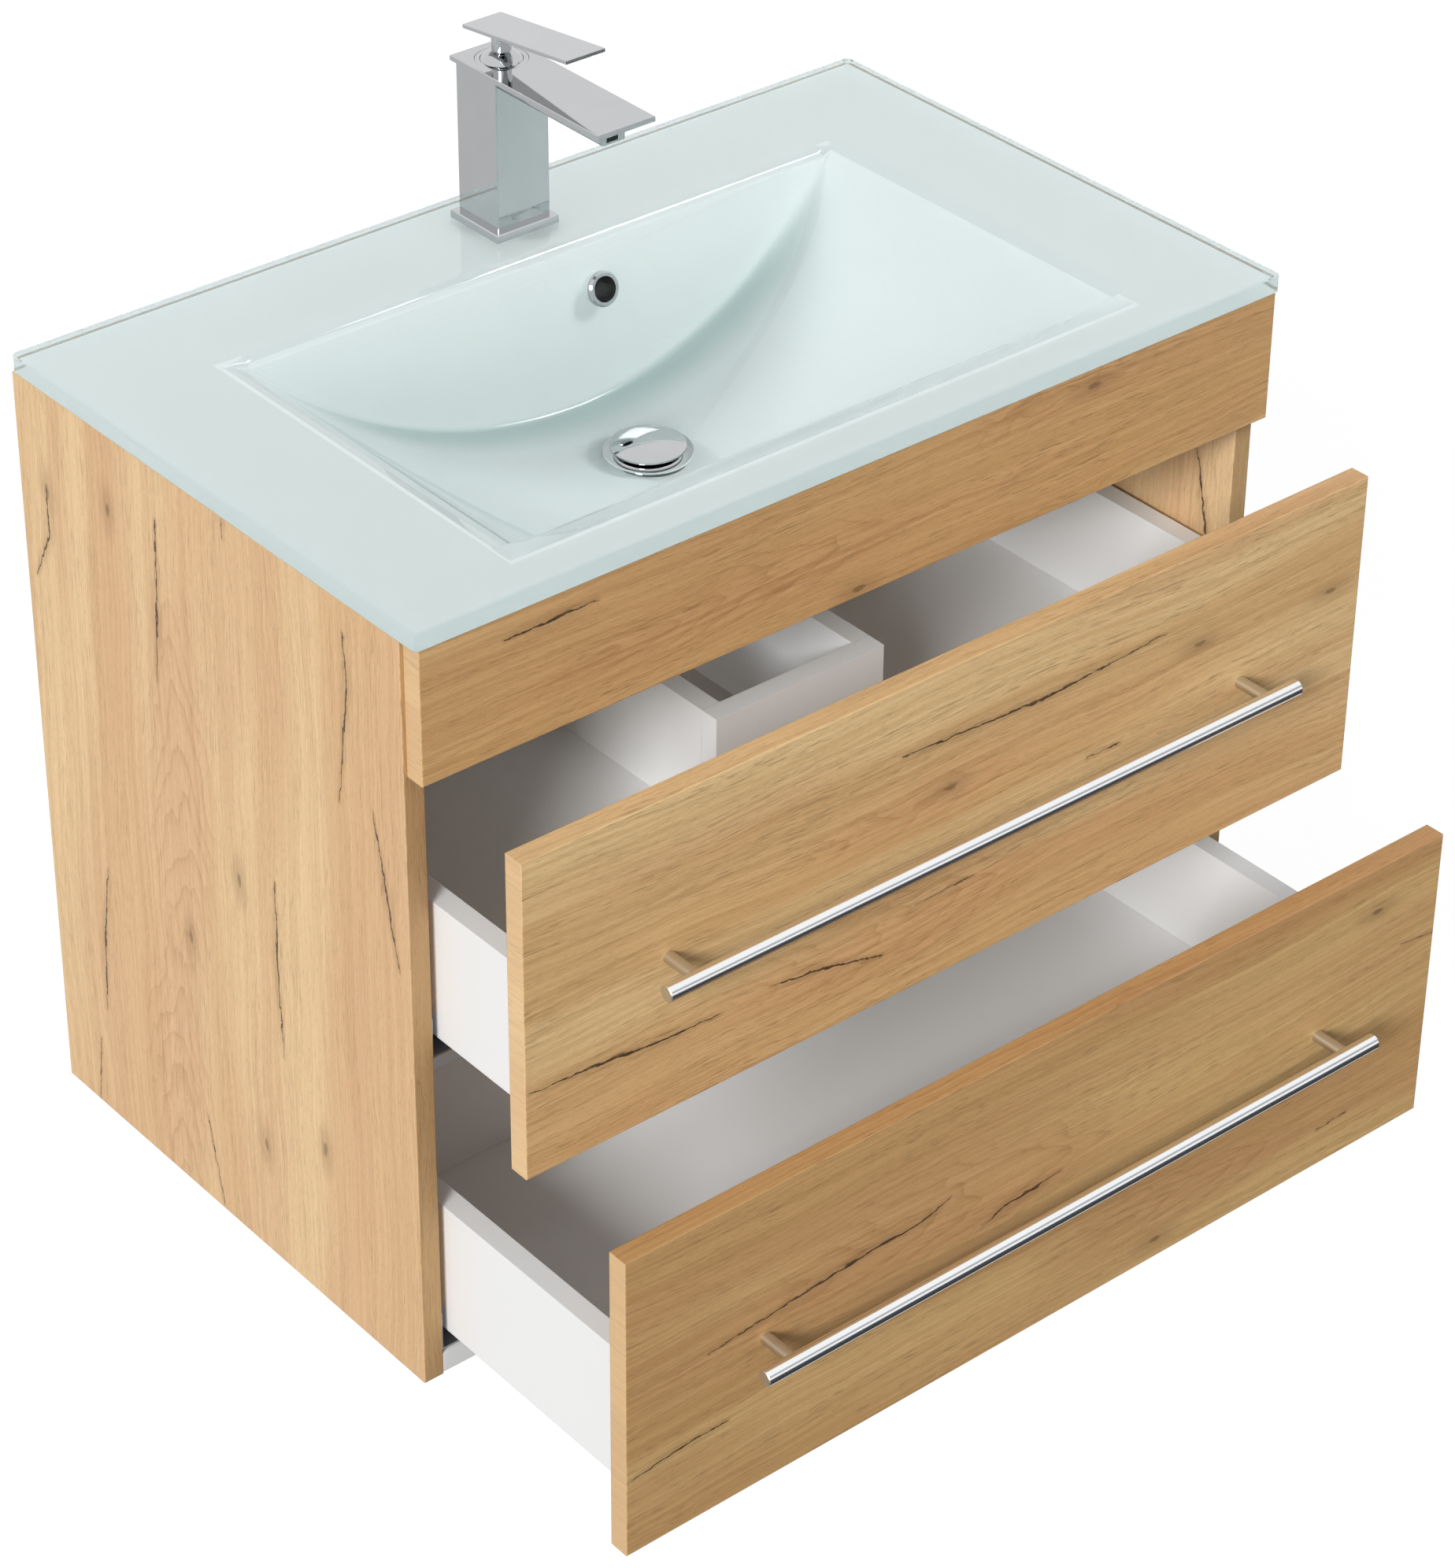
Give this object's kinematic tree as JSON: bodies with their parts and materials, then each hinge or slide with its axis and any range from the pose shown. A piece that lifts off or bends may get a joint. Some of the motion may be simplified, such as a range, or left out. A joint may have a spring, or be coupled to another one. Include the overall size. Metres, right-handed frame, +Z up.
{
  "type": "washstand with glass basin",
  "caption": "Wall-hung washstand: a one-piece glass basin top with a trough-shaped bowl on an oak cabinet with pull-out drawers and a flat-bladed lever tap.",
  "frame": {"origin": "on the wall face, midway between the two wall bolts, at the middle of the hanging rail", "axes": "+X to the right seen from the front, +Y into the wall, +Z up; the drawers open along -Y"},
  "size_m": [0.75, 0.695, 0.7755],
  "materials": {
    "basin_glass": "glossy, backed in white",
    "oak_side": "matt oak foil, upright grain",
    "oak_front": "matt oak foil, level grain",
    "melamine": "satin white board",
    "satin_steel": "satin",
    "zinc_steel": "zinc plated",
    "nylon": "matt",
    "chrome": "polished",
    "brass": "turned",
    "dark_plastic": "matt",
    "pale_plastic": "matt",
    "seal_rubber": "matt"
  },
  "bodies": {
    "cabinet": {"glass_basin": "basin_glass", "side_panel_left": "oak_side", "side_panel_right": "oak_side", "apron_panel": "oak_front", "bottom_panel": "melamine", "hanging_rail": "melamine", "rear_rail": "melamine", "apron_brackets": "zinc_steel", "upper_cabinet_rails": "zinc_steel", "lower_cabinet_rails": "zinc_steel", "tap_stud": "zinc_steel", "tap_clamp_plate": "zinc_steel", "tap_clamp_nut": "zinc_steel", "tap_base_plate": "chrome", "tap_body": "chrome", "tap_trim_ring": "chrome", "overflow_ring": "chrome", "waste_body": "chrome", "tap_cartridge_nut": "brass", "waste_nut": "brass", "tap_aerator": "dark_plastic", "tap_cartridge": "pale_plastic", "waste_guide": "pale_plastic", "overflow_elbow": "pale_plastic", "overflow_pipe": "pale_plastic", "overflow_collar": "pale_plastic", "tap_clamp_pad": "seal_rubber", "waste_lip_seal": "seal_rubber", "waste_gasket": "seal_rubber", "overflow_gasket": "seal_rubber"},
    "upper_drawer": {"upper_front": "oak_front", "upper_side_left": "melamine", "upper_side_right": "melamine", "upper_bottom": "melamine", "upper_back_left": "melamine", "upper_back_right": "melamine", "trap_wall_left": "melamine", "trap_wall_front": "melamine", "trap_wall_right": "melamine", "upper_handle_bar": "satin_steel", "upper_handle_posts": "satin_steel", "upper_drawer_rails": "zinc_steel", "upper_handle_screws": "zinc_steel"},
    "lower_drawer": {"lower_front": "oak_front", "lower_side_left": "melamine", "lower_side_right": "melamine", "lower_bottom": "melamine", "lower_back": "melamine", "lower_handle_bar": "satin_steel", "lower_handle_posts": "satin_steel", "lower_drawer_rails": "zinc_steel", "lower_handle_screws": "zinc_steel"},
    "upper_glides": {"upper_glides": "nylon"},
    "lower_glides": {"lower_glides": "nylon"},
    "tap_swivel": {"tap_turret": "nylon", "tap_pivot_pin": "zinc_steel"},
    "tap_lever": {"tap_lever_ball": "chrome", "tap_lever_blade": "chrome"},
    "waste_plug": {"waste_plug": "chrome"}
  },
  "joints": [
    {"name": "upper_drawer_slide", "type": "slide", "parent": "cabinet", "child": "upper_drawer", "axis": [0, -1, 0], "range_m": [-0.099, 0.161]},
    {"name": "lower_drawer_slide", "type": "slide", "parent": "cabinet", "child": "lower_drawer", "axis": [0, -1, 0], "range_m": [-0.199, 0.061]},
    {"name": "upper_glide_slide", "type": "slide", "parent": "cabinet", "child": "upper_glides", "axis": [0, -1, 0], "range_m": [-0.0495, 0.0805]},
    {"name": "lower_glide_slide", "type": "slide", "parent": "cabinet", "child": "lower_glides", "axis": [0, -1, 0], "range_m": [-0.0995, 0.0305]},
    {"name": "tap_swivel_turn", "type": "hinge", "parent": "cabinet", "child": "tap_swivel", "pos_m": [0.005, -0.0524, 0.1807], "axis": [0, 0, 1], "range_deg": [-45, 45]},
    {"name": "tap_lever_lift", "type": "hinge", "parent": "tap_swivel", "child": "tap_lever", "pos_m": [0.005, -0.0524, 0.1807], "axis": [-1, 0, 0], "range_deg": [0, 22]},
    {"name": "waste_plug_press", "type": "slide", "parent": "cabinet", "child": "waste_plug", "axis": [0, 0, -1], "range_m": [0, 0.0047], "stiffness_N_per_m": 400, "springref_m": -0.004}
  ],
  "couplings": [
    {"joint": "upper_glide_slide", "follows": "upper_drawer_slide", "ratio": 0.5},
    {"joint": "lower_glide_slide", "follows": "lower_drawer_slide", "ratio": 0.5}
  ]
}
